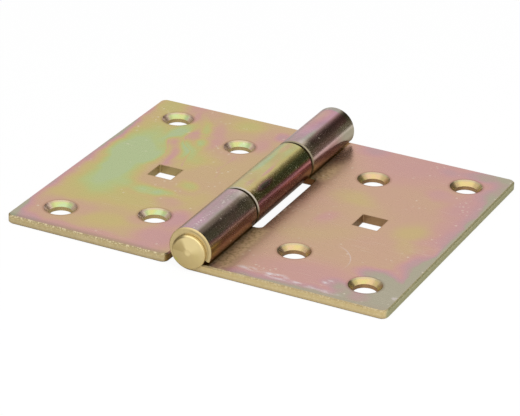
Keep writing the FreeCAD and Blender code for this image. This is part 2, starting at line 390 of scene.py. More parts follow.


# The film on each leaf. Its thickness runs from 0 to 1: base is that of the bare flat, sink that in
# a countersink. A patch, in millimetres and degrees, has its centre x and y, its two radii, its turn,
# and how much thicker or thinner the film is there. A line has its two ends, its width and the same.
# shade is painted shade: it darkens the rolled sheet between its first two angles, and gives way after the
# third to its fourth value. wall is inside the holes and inner_wall inside the window, both painted darker as
# painted shade, and the walls that face towards +X get more painted shade. side is the outer edge, painted
# darker as painted shade, and edge and strip tint the sheared edges and the flat along the near one, strip as
# painted shade where it rolls over.
RIGHT_FILM = {
    "base": 0.45,
    "middle_y": 0.0,
    "patches": (
        (36, 49, 32, 24, 0, -0.15),
        (63, 53, 14, 13, 0, -0.45),
        (57, 2, 5, 13, 0, -0.12),
        (57, 23, 8, 15, 0, -0.17),
        (63, 8, 6, 34, 0, -0.25),
        (65, 0, 4.5, 70, 0, -0.4),
        (30, -52.5, 48, 7, 0, -0.5),
        (66, -48, 22, 26, 0, -0.55),
        (65, -25, 7, 20, 0, -0.4),
        (61, 37, 7, 9, 0, -0.32),
        (51, 46, 6, 3, 0, -0.18),
        (46, 27, 7, 5, 0, -0.14),
        (42, 45, 5, 4, 0, -0.12),
        (24, 13, 9, 6, 0, 0.14),
        (50, 0, 7.5, 9, 0, 0.18),
        (51.5, -10, 4, 5, 0, 0.1),
        (20, -17, 10, 7, 0, 0.08),
        (28, 7, 9, 8, 0, 0.05),
        (30, -12, 8, 6, 0, 0.04),
        (34, -41, 20, 14, 0, -0.13),
        (42.5, -42, 4.5, 4, 0, -0.18),
        (24, -3, 4, 5, 0, -0.12),
        (58, -18, 5.5, 9, 0, -0.32),
        (51.5, -29.5, 7.5, 5, 0, -0.38),
        (57, -36, 5, 8, 0, -0.26),
        (47, -44.5, 5, 5, 0, -0.2),
        (15, 50, 8, 7, 0, -0.2),
    ),
    "lines": (),
    # Over the knuckles the place across is given in degrees from the top.
    "knuckle_patches": (
        (-22, -34, 18, 16, 0, 0.06),
        (10, -38, 12, 12, 0, 0.03),
        (-12, 40, 24, 10, 0, 0.10),
        (16, 26, 9, 8, 0, -0.10),
        (84, -50, 28, 8, 0, 0.34),
        (78, -38, 12, 16, 0, 0.14),
    ),
    "shade": (14.0, 25.0, 34.0, 0.2, srgb(168, 158, 156)),
    "sink": 0.62,
    "sink_rim": srgb(173, 161, 138),
    "wall": srgb(168, 134, 96),
    "inner_wall": srgb(150, 102, 58),
    "wall_shade_depth": 0.5,
    "sparkle": 0.25,
    "side": srgb(164, 162, 122),
    "edge": srgb(255, 255, 255),
    "strip": srgb(255, 250, 250),
}
LEFT_FILM = {
    "base": 0.55,
    "middle_y": 0.5,
    "patches": (
        (-52, 8, 12, 31, 4, 0.52),
        (-53, -22, 11, 12, 0, 0.18),
        (-51, -31.5, 8, 4, 0, -0.13),
        (-47, -10, 10, 12, 0, 0.12),
        (-32.5, -13, 8, 5, 0, 0.32),
        (-39, -11, 8, 5, 0, 0.16),
        (-28.5, -14, 4, 4.5, 0, 0.18),
        (-23, -13, 3, 4, 0, 0.1),
        (-45, 27, 4.5, 9, 0, 0.24),
        (-38.2, 18.8, 3.8, 7.5, 15, 0.44),
        (-25, -5, 4, 4, 0, 0.26),
        (-57, 47, 7, 11, 0, 0.18),
        (-49, 48, 5, 7, 0, -0.2),
        (-30, 47, 9, 10, 0, 0.08),
        (-45, 33, 5, 8, 0, 0.28),
        (-40.5, 14, 2.8, 11, 20, -0.15),
        (-39.4, 30, 3.5, 6, 12, -0.17),
        (-38.5, 36, 2.1, 10, 28, 0.26),
        (-33.7, 25.5, 3.5, 4.5, 5, 0.26),
        (-41.3, 21.5, 1.8, 3, 15, -0.2),
        (-29, 15, 8, 7, 0, 0.13),
        (-44.5, 10, 2.5, 9, 0, 0.12),
        (-44, 23, 2.3, 4, 10, -0.32),
        (-34, 20, 2.3, 10, 3, 0.2),
        (-34.3, 37, 2.2, 9, 28, -0.16),
        (-30.6, 27, 2.4, 6, 5, -0.16),
        (-40.2, 13.5, 1.4, 8, 22, -0.14),
        (-37.5, 7.5, 2.4, 3.0, 10, -0.12),
        (-45.8, 41, 2.2, 4.5, 15, -0.24),
        (-33, 29, 6, 8, 0, -0.06),
        (-27, 44, 8, 7, 0, 0.12),
        (-31, 10, 5, 8, 0, 0.12),
        (-25, 20, 7, 6, 0, -0.09),
        (-36, -22, 17, 9, -6, 0.18),
        (-25, -20, 5, 6, 0, -0.14),
        (-18, -12, 5, 9, 0, 0.1),
        (-35, -38, 9, 8, 0, 0.14),
        (-43, -35, 5, 5, 0, -0.1),
        (-57, -38, 7, 9, 0, -0.12),
        (-38, -48.5, 30, 4, 0, -0.2),
        (-64, -43, 5.6, 14, 0, -0.65),
        (-64.5, 28, 4.7, 30, 0, -0.5),
        (-58.5, 0, 5, 6, 0, -0.25),
        (-57, -47.5, 5, 4, 0, -0.2),
        (-62, -19, 4, 8, 0, -0.2),
        (-55, -6, 5, 5, 0, -0.08),
        (-65, -6, 5.5, 62, 0, -0.42),
        (-17, -41, 9, 11, 0, -0.25),
        (-52, -47, 10, 6, 0, -0.08),
        (-18, 36, 5, 13, 0, -0.1),
        (-43, 47, 4, 6, 0, -0.08),
        (-17, -27, 5.5, 8, 0, -0.3),
        (-28, -34, 4, 3, 0, -0.12),
        (-16.5, 33, 4, 7, 0, -0.1),
        (-13.5, 43, 3.5, 5, 0, -0.35),
    ),
    "lines": (
        (-45.0, 23, -42.5, 9, 0.5, -0.18),
        (-41.0, 27, -32.0, 7, 0.6, -0.16),
        (-22.0, 20, -20.0, 5, 0.7, -0.08),
        (-47.0, 29, -36.0, 33, 0.8, -0.12),
    ),
    "knuckle_patches": (
        (-14, 2, 14, 9, 8, 0.22),
        (8, -14, 9, 4, 0, -0.12),
        (18, -3, 6, 6, 0, -0.30),
        (-4, 14, 12, 5, 0, -0.18),
        (16, 12, 12, 6, 0, 0.05),
        (12, 3, 7, 4, 0, -0.08),
        (40, -10, 10, 6, 0, -0.75),
    ),
    "shade": (32.0, 46.0, 54.0, 0.0, srgb(182, 182, 190)),
    "sink": 0.90,
    "sink_rim": srgb(189, 154, 146),
    "wall": srgb(186, 166, 116),
    "inner_wall": srgb(150, 120, 64),
    "wall_shade_depth": 0.2,
    "sparkle": 0.5,
    "side": srgb(170, 160, 112),
    "edge": srgb(244, 246, 250),
    "strip": srgb(226, 238, 226),
}
# Whitish rubbed spots on the right leaf: centre x and y, the two radii and the strength.
SCUFFS = (
    (18, -44.8, 6.0, 1.5, 0.9),
    (26, -45.4, 4.5, 2.1, 1.3),
    (33, -46.6, 6.5, 1.3, 0.8),
    (42, -47.2, 6.5, 1.1, 0.7),
    (40.7, -41.2, 1.9, 2.3, 1.2),
    (61.8, -41, 1.2, 1.8, 0.7),
)
# The thin round scratch: its centre, its radius and the oval that it shows in.
ARC_SCRATCH = ((30.0, -29.5), 11.3, (38.5, -23.0, 6.5, 10.0))
# The screw holes in each quarter, in millimetres from the pin and from the leaf's middle.
SCREW_HOLES = ((51.0, 37.8), (23.6, 28.4))
# The square hole's middle, in millimetres from the pin, and half its side.
SQUARE_HOLE = (35.3, 4.15)
# The way that the greenest part of a countersink's cone faces.
SINK_BRIGHT_SIDE = (0.38, -0.92, 0.0)

# Tints of the film, of the bare metal and of its wear, and of painted shade, light and highlights.
SINK_BROWN = srgb(248, 214, 200)
HOLE_SHADE = srgb(206, 192, 184)
LOW_SIDE_SHADE = srgb(252, 250, 232)
FAR_LOW_SIDE = (srgb(236, 196, 194), srgb(232, 220, 202))
FAR_FOOT = (srgb(196, 152, 146), srgb(186, 178, 156))
PALE_KNUCKLE_ENDS = srgb(240, 224, 200)
RED_BAND = srgb(255, 214, 238)
KNUCKLE_TOP = (1.0, 1.0, 1.18, 1.0)
KNUCKLE_UNDERSIDE_SHADE = srgb(160, 128, 70)
THIN_SWELL = srgb(206, 200, 196)
BARREL_SHADE_OLIVE = srgb(222, 202, 136)
PALE_GRIT_IN_SHADE = srgb(240, 220, 176)
DARK_GRIT_IN_SHADE = srgb(124, 102, 56)
FOOT_SHADE_COLOUR = srgb(128, 92, 36)
EDGE_HOLLOW = srgb(208, 186, 134)
EDGE_FOOT = srgb(206, 198, 188)
NEAR_BEVEL = srgb(208, 206, 212)
WALL_SHADE = srgb(92, 70, 44)
GAP_RIM_HIGHLIGHTS = (srgb(184, 175, 158), srgb(150, 140, 116))
GAP_SHADE = srgb(92, 78, 52)
RING_SHADOW_LINE = srgb(140, 120, 76)
EDGE_SPARKLE = srgb(242, 228, 186)
SCRATCH = srgb(228, 214, 196)
NICK = srgb(235, 224, 205)
TOP_SPECKS = srgb(240, 232, 224)
SCUFF = srgb(224, 212, 214)

# Spans over which one part of a leaf gives way to the next. Across the leaf they run from the
# pin's axis, along it from the middle, and upwards from the leaf's back.
ROLL_SPAN = (7.2 * MM, 7.6 * MM)
ROLL_RISE = (0.0, 0.4 * MM)
INLAND_ACROSS = (61.5 * MM, 62.2 * MM)
INLAND_ALONG = (48.6 * MM, 49.2 * MM)
OUTER_SIDE = (62.4 * MM, 62.9 * MM)
NEAR_EDGE = (-48.8 * MM, -46.5 * MM)
SINK_RIM = (2.2 * MM, 2.6 * MM)
SCREW_HALO = (5.1 * MM, 6.1 * MM)
SQUARE_HALO = (0.0, 0.5 * MM)
EDGE_FOOT_SPAN = (0.5 * MM, 1.9 * MM)
WINDOW_WALL = (12 * MM, 14 * MM)
GAP_ENDS = (30 * MM, 32 * MM)
RING_RIM = (6.3 * MM, 6.7 * MM)
RING_SHADOW_RADIUS = 6.05 * MM
RING_SHADOW_WIDTH = (0.06 * MM, 0.2 * MM)
FOOT_SHADE_OUTER = (5.6 * MM, 6.3 * MM)
FOOT_SHADE_INNER = (3 * MM, 4 * MM)
BESIDE_ACROSS = (9.5 * MM, 13.0 * MM)
BESIDE_WINDOW = (17 * MM, 22 * MM)
BESIDE_FAR_END = (27 * MM, 38 * MM)
KNUCKLE_END = 19.6 * MM
PALE_END_SPAN = (0.8 * MM, 5.2 * MM)
FAR_KNUCKLE = (18 * MM, 24 * MM)
FAR_TIP = (34 * MM, 44 * MM)
BROWN_SPAN = (18 * MM, 30 * MM)
SPECK_SPAN = (-27 * MM, -22 * MM)
SHADE_FADE = 14.0


def add_patch(w, position, total, patch, strength):
    """The total with one more soft patch in it."""
    x, y, across, along, turn = patch
    spot = w.group(
        named_group("film_patch", patch_group),
        {
            "Position": position,
            "Centre": (x * MM, y * MM, 0.0),
            "Radii": (across * MM, along * MM, 1.0),
            "Turn": math.radians(turn),
            "Strength": strength,
        },
    )
    return w.math("ADD", total, spot.outputs["Value"])


def film_thickness(w, position, film, settings):
    """The film's thickness over a flat leaf: listed patches, drips and a slow random swell."""
    size = settings.mottle_size
    wander = w.noise(position, 1 / (0.7 * size), detail=3.0, output="Color")
    shift = w.scaled(w.vector("SUBTRACT", wander, (0.5, 0.5, 0.5)), 9 * MM)
    warped = w.vector("MULTIPLY", w.vector("ADD", position, shift), (1.0, 1.0, 0.0))
    swell = w.noise(position, 1 / size, detail=3.0)
    total = w.math("MULTIPLY_ADD", swell, 2 * settings.mottle, film["base"] - settings.mottle)
    for *patch, strength in film["patches"]:
        total = add_patch(w, warped, total, patch, strength)
    for x0, y0, x1, y1, width, strength in film["lines"]:
        drip = w.group(
            named_group("film_line", line_group),
            {
                "Position": warped,
                "Start": (x0 * MM, y0 * MM, 0.0),
                "End": (x1 * MM, y1 * MM, 0.0),
                "Width": width * MM,
            },
        )
        total = w.math("MULTIPLY_ADD", drip.outputs["Value"], strength, total)
    return total


def right_knuckle_film(w, along, angle, swell):
    """Greyish lilac on the near knuckle, pinker towards the far end and green at its very end."""
    level = w.fade(along, 18 * MM, 46 * MM, 0.06, 0.24)
    level = w.math("ADD", level, w.fade(angle, -10.0, 25.0, 0.05, -0.04))
    level = w.math("ADD", level, w.fade(angle, 56.0, 68.0, 0.0, 0.24))
    level = w.math("ADD", level, w.fade(along, 46.5 * MM, 48.5 * MM, 0.0, -0.4))
    return w.math("MULTIPLY_ADD", swell, 0.30, w.less(level, 0.15))


def left_knuckle_film(w, along, angle, swell):
    """Olive to green on top, green at the side, where knuckle_colour darkens it with painted shade, and red
    below.
    """
    level = w.fade(along, -16 * MM, 16 * MM, 0.70, 0.80)
    level = w.math("ADD", level, w.fade(angle, 18.0, 26.0, 0.0, -0.06))
    level = w.math("ADD", level, w.fade(angle, 36.0, 43.0, 0.0, 0.18))
    level = w.math("ADD", level, w.fade(angle, 56.0, 66.0, 0.0, -0.64))
    return w.math("MULTIPLY_ADD", swell, 0.44, w.less(level, 0.22))


class LeafPlaces:
    """Where on a leaf a point lies: masks from its place and from the way that it faces."""

    def __init__(self, w):
        place = w.node("ShaderNodeTexCoord")
        self.position, self.normal = place.outputs["Object"], place.outputs["Normal"]
        self.x, self.y, self.z = w.split(self.position)
        self.facing = w.split(self.normal)
        self.from_pin = w.size(self.x)
        self.from_middle = w.size(self.y)
        above_pin = w.less(self.z, PIN_AXIS_HEIGHT)
        # Round the pin, from the top towards the right leaf.
        self.angle = w.math("DEGREES", w.math("ARCTAN2", self.x, above_pin))
        self.radius = w.vector("LENGTH", w.join(self.x, above_pin), output=1)
        self.drawn_out = w.stretched(self.position, (1.7, 0.8, 1.7))

        level_face, end_face = w.size(self.facing["Z"]), w.size(self.facing["Y"])
        above_sheet = w.less(self.z, SHEET_THICKNESS)
        self.rolled = w.times(w.fade(self.from_pin, *ROLL_SPAN, 1.0, 0.0), w.fade(above_sheet, *ROLL_RISE))
        self.flat = w.less(1.0, self.rolled)
        upright = w.times(self.flat, w.fade(level_face, 0.25, 0.5, 1.0, 0.0))
        slanted = w.times(w.fade(level_face, 0.45, 0.6), w.fade(level_face, 0.8, 0.95, 1.0, 0.0))
        inland = w.times(
            w.fade(self.from_pin, *INLAND_ACROSS, 1.0, 0.0), w.fade(self.from_middle, *INLAND_ALONG, 1.0, 0.0)
        )
        self.sunk = w.times(slanted, inland, self.flat)
        self.bevelled = w.times(w.less(slanted, self.sunk), self.flat)
        ring_bevel = w.times(w.fade(end_face, 0.35, 0.6), self.rolled)
        bevels = w.math("MAXIMUM", self.bevelled, ring_bevel)
        self.cut = w.math("MAXIMUM", w.math("MAXIMUM", upright, w.fade(end_face, 0.75, 0.92)), bevels)
        self.pierced = w.times(upright, inland, self.flat)
        self.near_edge = w.times(w.fade(self.y, *NEAR_EDGE, 1.0, 0.0), self.flat)


def hole_halo(w, at, middle):
    """Soft rims round the screw holes and the square hole."""
    halo = 0.0
    along = w.size(w.less(at.y, middle))
    for hole_x, hole_y in SCREW_HOLES:
        aside, beyond = w.less(at.from_pin, hole_x * MM), w.less(along, hole_y * MM)
        reach = w.vector("LENGTH", w.join(aside, beyond), output=1)
        halo = w.math("MAXIMUM", halo, w.fade(reach, *SCREW_HALO, 0.7, 0.0))
    hole_x, half_side = SQUARE_HOLE
    aside = w.size(w.less(at.from_pin, hole_x * MM))
    reach = w.less(w.math("MAXIMUM", aside, along), half_side * MM)
    halo = w.math("MAXIMUM", halo, w.fade(reach, *SQUARE_HALO, 0.6, 0.0))
    return w.times(halo, w.less(1.0, at.sunk))


def flat_colour(w, at, film, settings):
    """The film on the flat of a leaf, in its countersinks and round its holes."""
    thickness = film_thickness(w, at.position, film, settings)
    cone = w.math("MULTIPLY_ADD", w.noise(at.position, 330.0, detail=1.0), 0.6, film["sink"] - 0.3)
    thickness = w.math("MULTIPLY_ADD", w.less(cone, thickness), at.sunk, thickness)
    colour = w.group(named_group("film_colour", film_colour_group), {"Thickness": thickness}).outputs[0]
    if film is LEFT_FILM:
        towards = w.vector("DOT_PRODUCT", at.normal, SINK_BRIGHT_SIDE, 1)
        colour = w.mix(w.times(at.sunk, w.fade(towards, 0.33, 0.56, 0.85, 0.0)), colour, SINK_BROWN)
    colour = w.mix(w.times(at.sunk, w.fade(at.z, *SINK_RIM, 0.0, 0.6)), colour, film["sink_rim"])
    return w.tint(hole_halo(w, at, film["middle_y"] * MM), colour, HOLE_SHADE)


def end_knuckle_colour(w, at, colour):
    """The pink low side of the far knuckle and the ends by the gaps, both painted paler as painted light."""
    # Painted light: the far knuckle's low side is painted paler and pinker than the film above it.
    tip = w.fade(at.y, *FAR_TIP)
    low_side = w.mix(w.fade(at.angle, 68.0, 78.0), w.mix(tip, *FAR_LOW_SIDE), w.mix(tip, *FAR_FOOT))
    far_side = w.times(w.fade(at.y, *FAR_KNUCKLE), w.fade(at.angle, 46.0, 58.0))
    colour = w.mix(far_side, colour, low_side)
    # Painted light: the knuckles are painted paler on their right side near the gaps.
    past_gap = w.less(at.from_middle, KNUCKLE_END)
    pale_mask = w.times(w.fade(past_gap, *PALE_END_SPAN, 0.34, 0.0), w.fade(at.angle, 0.0, 14.0))
    return w.mix(pale_mask, colour, PALE_KNUCKLE_ENDS)


def knuckle_colour(w, at, film, knuckle_film):
    """The film on the rolled sheet, with painted shade on its right side and below."""
    angle = at.angle
    swell = w.noise(at.drawn_out, 95.0, detail=3.0, roughness=0.55)
    unrolled = w.join(w.times(angle, MM), at.y)
    thickness = knuckle_film(w, at.y, angle, swell)
    for *patch, strength in film["knuckle_patches"]:
        thickness = add_patch(w, unrolled, thickness, patch, strength)
    colour = w.group(named_group("film_colour", film_colour_group), {"Thickness": thickness}).outputs[0]
    # Painted shade: a dark band across the rolled sheet, between the angles given in the film's shade.
    low, high, end, depth, shade_tint = film["shade"]
    shaded = w.times(w.fade(angle, low, high), w.fade(angle, end, end + SHADE_FADE, 1.0, depth))
    colour = w.tint(shaded, colour, shade_tint)
    brown = w.times(w.fade(angle, 58.0, 68.0), w.fade(at.y, *BROWN_SPAN, 1.0, 0.0))
    colour = w.tint(brown, colour, LOW_SIDE_SHADE)
    if film is RIGHT_FILM:
        colour = end_knuckle_colour(w, at, colour)
    else:
        red = w.times(w.fade(angle, 59.0, 66.0), w.fade(angle, 76.0, 90.0, 1.0, 0.0))
        colour = w.tint(red, colour, RED_BAND)
    colour = w.tint(w.fade(angle, 14.0, 24.0, 1.0, 0.0), colour, KNUCKLE_TOP)
    # Painted shade under the knuckles, where they turn in towards the leaf.
    colour = w.tint(w.fade(angle, 90.0, 114.0), colour, KNUCKLE_UNDERSIDE_SHADE)
    return w.tint(w.fade(swell, 0.35, 0.60, 0.25, 0.0), colour, THIN_SWELL)


def beside_barrel(w, at):
    """Where the right leaf runs in under its end knuckles."""
    across = w.fade(at.x, *BESIDE_ACROSS, 1.0, 0.0)
    beyond_window = w.fade(at.from_middle, *BESIDE_WINDOW)
    return w.times(across, beyond_window, w.fade(at.y, *BESIDE_FAR_END, 1.0, 0.0), at.flat)


def grit_and_barrel_shade(w, at, beside, colour):
    """The colour with the olive band beside the barrel, which is painted shade, and the grit speckled through
    it.
    """
    colour = w.mix(w.times(beside, 0.35), colour, BARREL_SHADE_OLIVE)
    grit_speckle = w.noise(at.position, 1000.0, detail=3.0, roughness=0.6)
    colour = w.mix(w.times(beside, w.fade(grit_speckle, 0.42, 0.52, 0.28, 0.0)), colour, PALE_GRIT_IN_SHADE)
    return w.mix(w.times(beside, w.fade(grit_speckle, 0.52, 0.64, 0.0, 0.40)), colour, DARK_GRIT_IN_SHADE)


def cut_colour(w, at, film, edge, edge_colour):
    """Bare-looking gold on the sheared edges, in the holes and on the knuckles' ends."""
    gold = w.mix(edge["Shade"], EDGE_HOLLOW, edge_colour)
    # Painted shade: the edges are painted darker towards their foot.
    gold = w.tint(w.fade(at.z, *EDGE_FOOT_SPAN, 0.9, 0.0), gold, EDGE_FOOT)
    gold = w.tint(at.flat, gold, film["edge"])
    gold = w.tint(w.times(at.near_edge, at.bevelled), gold, NEAR_BEVEL)
    # Painted shade: the outer edge is painted a darker olive.
    gold = w.mix(w.fade(at.from_pin, *OUTER_SIDE), gold, film["side"])
    # Painted shade in the holes and the window: the walls are painted darker, and darker still where they
    # face towards +X.
    wall = w.mix(w.fade(at.facing["X"], 0.4, 0.9, 0.0, film["wall_shade_depth"]), film["wall"], WALL_SHADE)
    wall = w.mix(w.fade(at.from_pin, *WINDOW_WALL), film["inner_wall"], wall)
    gold = w.mix(at.pierced, gold, wall)
    # Painted shade on the knuckles' ends in the gaps, with a painted highlight on the outer rims of the faces
    # turned towards the near end.
    between = w.times(w.fade(at.from_middle, *GAP_ENDS, 1.0, 0.0), at.rolled)
    bright = w.times(
        w.fade(at.radius, *RING_RIM),
        w.fade(at.facing["Y"], -0.3, 0.3, 1.0, 0.0),
        w.fade(at.angle, 78.0, 94.0, 1.0, 0.0),
    )
    rim_highlight = w.mix(w.fade(at.y, -5 * MM, 5 * MM), *GAP_RIM_HIGHLIGHTS)
    gold = w.mix(between, gold, w.mix(bright, GAP_SHADE, rim_highlight))
    # A thin painted shadow line round the knuckles' end faces, stronger towards the right.
    ring_shadow = w.fade(w.size(w.less(at.radius, RING_SHADOW_RADIUS)), *RING_SHADOW_WIDTH, 1.0, 0.0)
    ring_shadow = w.times(ring_shadow, at.rolled, w.fade(at.angle, -10.0, 10.0, 0.0, 0.5))
    gold = w.mix(ring_shadow, gold, RING_SHADOW_LINE)
    # Painted glints along the top of the sheared edges.
    sparkle = w.times(edge["Sparkle"], at.flat, film["sparkle"], w.less(1.0, at.pierced))
    return w.mix(sparkle, gold, EDGE_SPARKLE)


def right_leaf_scuffs(w, position):
    """Rubbed whitish spots near the leaf's near edge, and one thin round scratch."""
    flattened = w.vector("MULTIPLY", position, (1.0, 1.0, 0.0))
    total = 0.0
    for x, y, across, along, strength in SCUFFS:
        total = add_patch(w, flattened, total, (x, y, across, along, 0.0), strength)
    streaks = w.noise(w.stretched(position, (0.4, 1.0, 1.0)), 800.0, detail=4.0, roughness=0.65)
    pale_mask = w.times(total, w.fade(streaks, 0.38, 0.68))
    (x, y), radius, sector = ARC_SCRATCH
    reach = w.vector("LENGTH", w.vector("SUBTRACT", flattened, (x * MM, y * MM, 0.0)), output=1)
    ring = w.fade(w.size(w.less(reach, radius * MM)), 0.0, 0.28 * MM, 0.45, 0.0)
    arc = w.times(ring, add_patch(w, flattened, 0.0, sector + (0.0,), 1.0))
    return w.math("MAXIMUM", pale_mask, arc, clamp=True)


def rubbed_right_leaf(w, at, colour):
    """The colour with the specks on top of the near knuckle and the scuffs on the leaf."""
    along_top = w.times(w.fade(w.size(w.less(at.angle, 3.0)), 2.0, 8.0, 1.0, 0.0), at.rolled)
    specks = w.fade(w.noise(at.position, 1300.0), 0.55, 0.66)
    amount = w.times(along_top, w.fade(at.y, *SPECK_SPAN, 1.0, 0.0), specks, 0.6)
    colour = w.mix(amount, colour, TOP_SPECKS)
    return w.mix(right_leaf_scuffs(w, at.position), colour, SCUFF)


def leaf_material(name, film, knuckle_film, settings):
    """Passivated sheet: flat faces, rolled knuckles and sheared edges in one material."""
    material, w = bare_material(name)
    at = LeafPlaces(w)
    sheet = {"Position": at.position, "Thickness": SHEET_THICKNESS}
    edge = w.group(named_group("sheared_edge", sheared_edge_group), sheet).outputs
    wear = w.group(named_group("scratches", scratches_group), {"Position": at.position}).outputs
    scratched, nicked = w.times(wear["Lines"], settings.wear), w.times(wear["Nicks"], settings.wear)
    rough = w.math("MULTIPLY_ADD", w.noise(at.position, 160.0, detail=3.0), 0.10, settings.roughness - 0.05)
    rough = w.math("MULTIPLY_ADD", at.rolled, -0.05, rough)

    colour = w.mix(at.rolled, flat_colour(w, at, film, settings), knuckle_colour(w, at, film, knuckle_film))
    # Painted shade along the near edge, where the flat rolls over.
    colour = w.tint(at.near_edge, colour, film["strip"])
    if film is RIGHT_FILM:
        # Painted shade beside the barrel, speckled with grit.
        beside = beside_barrel(w, at)
        colour = grit_and_barrel_shade(w, at, beside, colour)
        rough = w.math("MULTIPLY_ADD", beside, 0.17, rough)
    # Painted shade on the flat where the knuckle's curl comes down to it, on the back as well.
    foot_shade = w.times(w.fade(at.x, *FOOT_SHADE_OUTER, 1.0, 0.0), at.flat, w.fade(at.x, *FOOT_SHADE_INNER))
    colour = w.mix(foot_shade, colour, FOOT_SHADE_COLOUR)
    colour = w.mix(w.times(scratched, 0.5), colour, SCRATCH)
    colour = w.mix(nicked, colour, NICK)
    if film is RIGHT_FILM:
        colour = rubbed_right_leaf(w, at, colour)
    colour = w.mix(at.cut, colour, cut_colour(w, at, film, edge, settings.edge_colour[:]))

    rough = w.math("MULTIPLY_ADD", at.cut, 0.16, rough)
    rough = w.math("MULTIPLY_ADD", w.math("MAXIMUM", scratched, nicked), 0.3, rough)

    grain = w.noise(at.position, 700.0, detail=4.0, roughness=0.6)
    dents = w.noise(at.position, 90.0)
    height = w.math("ADD", w.times(grain, 0.02), w.times(dents, 0.12))
    waves = w.times(w.noise(at.drawn_out, 210.0, detail=1.0), at.rolled)
    height = w.math("MULTIPLY_ADD", waves, w.fade(at.angle, 52.0, 66.0, 0.9, 0.25), height)
    height = w.math("MULTIPLY_ADD", scratched, -0.06, height)
    height = w.math("MULTIPLY_ADD", nicked, -0.15, height)
    height = w.math("MULTIPLY_ADD", w.times(edge["Height"], at.cut), 0.9, height)
    bump = w.node("ShaderNodeBump", {"Height": height, "Strength": 0.35, "Distance": 0.12 * MM})

    metal = w.math("MULTIPLY_ADD", at.cut, -0.25, w.math("MULTIPLY_ADD", at.rolled, 0.08, 0.90))
    shader = w.node(
        "ShaderNodeBsdfPrincipled",
        {
            "Base Color": colour,
            "Roughness": rough,
            "Metallic": metal,
            "Specular Tint": GRAZING_TINT,
            "Normal": bump.outputs[0],
        },
    )
    show(w, shader)
    return material


# Tints of the pin: its patches, the painted highlight and shade on its head, its stain, and its shank.
PIN_OLIVE = srgb(206, 192, 112)
PIN_PALE = srgb(234, 210, 162)
HEAD_SHADE = srgb(148, 128, 80)
HEAD_HIGHLIGHT = srgb(250, 230, 172)
HEAD_LIP_SHADOW = srgb(104, 86, 48)
HEAD_STAIN = srgb(178, 182, 84)
SHANK = srgb(166, 148, 108)
HEAD_BACK = (-50.05 * MM, -49.95 * MM)
LIP_SHADOW_TURN = 132.0
STAIN_PATCH = (-4.2, -3.0, 1.3, 1.0, 0.0)


def pin_material(name, settings):
    """The pin: matt passivated steel."""
    material, w = bare_material(name)
    position = w.node("ShaderNodeTexCoord").outputs["Object"]
    cloud = w.noise(position, 260.0, detail=3.0)
    patchy = w.noise(position, 120.0, detail=1.0)
    colour = w.mix(w.fade(patchy, 0.50, 0.72, 0.0, 0.4), settings.pin_colour[:], PIN_OLIVE)
    colour = w.mix(w.fade(cloud, 0.45, 0.80, 0.0, 0.35), colour, PIN_PALE)

    # The head: a painted highlight in a paler wedge towards its upper right, painted shade low on the left,
    # and a painted shadow along its upper left rim.
    x, y, z = w.split(w.vector("SUBTRACT", position, (0.0, 0.0, HEAD_AXIS_HEIGHT)))
    turn = w.math("DEGREES", w.math("ARCTAN2", z, x))
    reach = w.math("SQRT", w.math("ADD", w.times(x, x), w.times(z, z)))
    highlight_wedge = w.times(
        w.fade(turn, -20.0, 46.0, 0.25, 1.0),
        w.fade(turn, 108.0, 134.0, 1.0, 0.0),
        w.fade(reach, 0.2 * MM, 1.4 * MM),
    )
    highlight_wedge = w.math("MAXIMUM", highlight_wedge, w.fade(reach, 0.5 * MM, 1.6 * MM, 0.7, 0.0))
    colour = w.mix(w.fade(w.math("ADD", x, z), -7.0 * MM, 4.0 * MM, 0.42, 0.0), colour, HEAD_SHADE)
    colour = w.mix(w.times(highlight_wedge, 0.75), colour, HEAD_HIGHLIGHT)
    lip_shadow_turn = w.size(w.less(turn, LIP_SHADOW_TURN))
    lip_shadow = w.times(w.fade(reach, 4.5 * MM, 4.9 * MM), w.fade(lip_shadow_turn, 15.0, 38.0, 1.0, 0.0))
    colour = w.mix(w.times(lip_shadow, 0.8), colour, HEAD_LIP_SHADOW)
    colour = w.mix(add_patch(w, w.join(x, z), 0.0, STAIN_PATCH, 0.5), colour, HEAD_STAIN)
    colour = w.mix(w.fade(y, *HEAD_BACK), colour, SHANK)
    grain = w.noise(position, 900.0, detail=3.0)
    bump = w.node("ShaderNodeBump", {"Height": grain, "Strength": 0.25, "Distance": 0.05 * MM})
    shader = w.node(
        "ShaderNodeBsdfPrincipled",
        {
            "Base Color": colour,
            "Roughness": w.math("MULTIPLY_ADD", cloud, 0.16, 0.38),
            "Metallic": 0.8,
            "Specular Tint": GRAZING_TINT,
            "Normal": bump.outputs[0],
        },
    )
    show(w, shader)
    return material


def dress(node_name, material):
    """Gives a node of the frame this one material."""
    slots = frame["nodes"][node_name].data.materials
    slots.clear()
    slots.append(material)


class HINGE_OT_dress_right_leaf(bpy.types.Operator):
    """Finish the leaf with the two end knuckles"""

    bl_idname = "hinge.dress_right_leaf"
    bl_label = "Dress Right Leaf"

    def execute(self, context):
        material = leaf_material("passivated_right", RIGHT_FILM, right_knuckle_film, context.scene.hinge_film)
        dress("right_leaf", material)
        return {"FINISHED"}


class HINGE_OT_dress_left_leaf(bpy.types.Operator):
    """Finish the leaf with the middle knuckle"""

    bl_idname = "hinge.dress_left_leaf"
    bl_label = "Dress Left Leaf"

    def execute(self, context):
        material = leaf_material("passivated_left", LEFT_FILM, left_knuckle_film, context.scene.hinge_film)
        dress("left_leaf", material)
        return {"FINISHED"}


class HINGE_OT_dress_pin(bpy.types.Operator):
    """Finish the headed pin"""

    bl_idname = "hinge.dress_pin"
    bl_label = "Dress Pin"

    def execute(self, context):
        dress("pin", pin_material("passivated_pin", context.scene.hinge_film))
        return {"FINISHED"}


def emission_material(name, colour):
    """A steady glow of one colour, that light doesn't change."""
    material, w = bare_material(name)
    show(w, w.node("ShaderNodeEmission", {"Color": colour, "Strength": 1.0}))
    return material


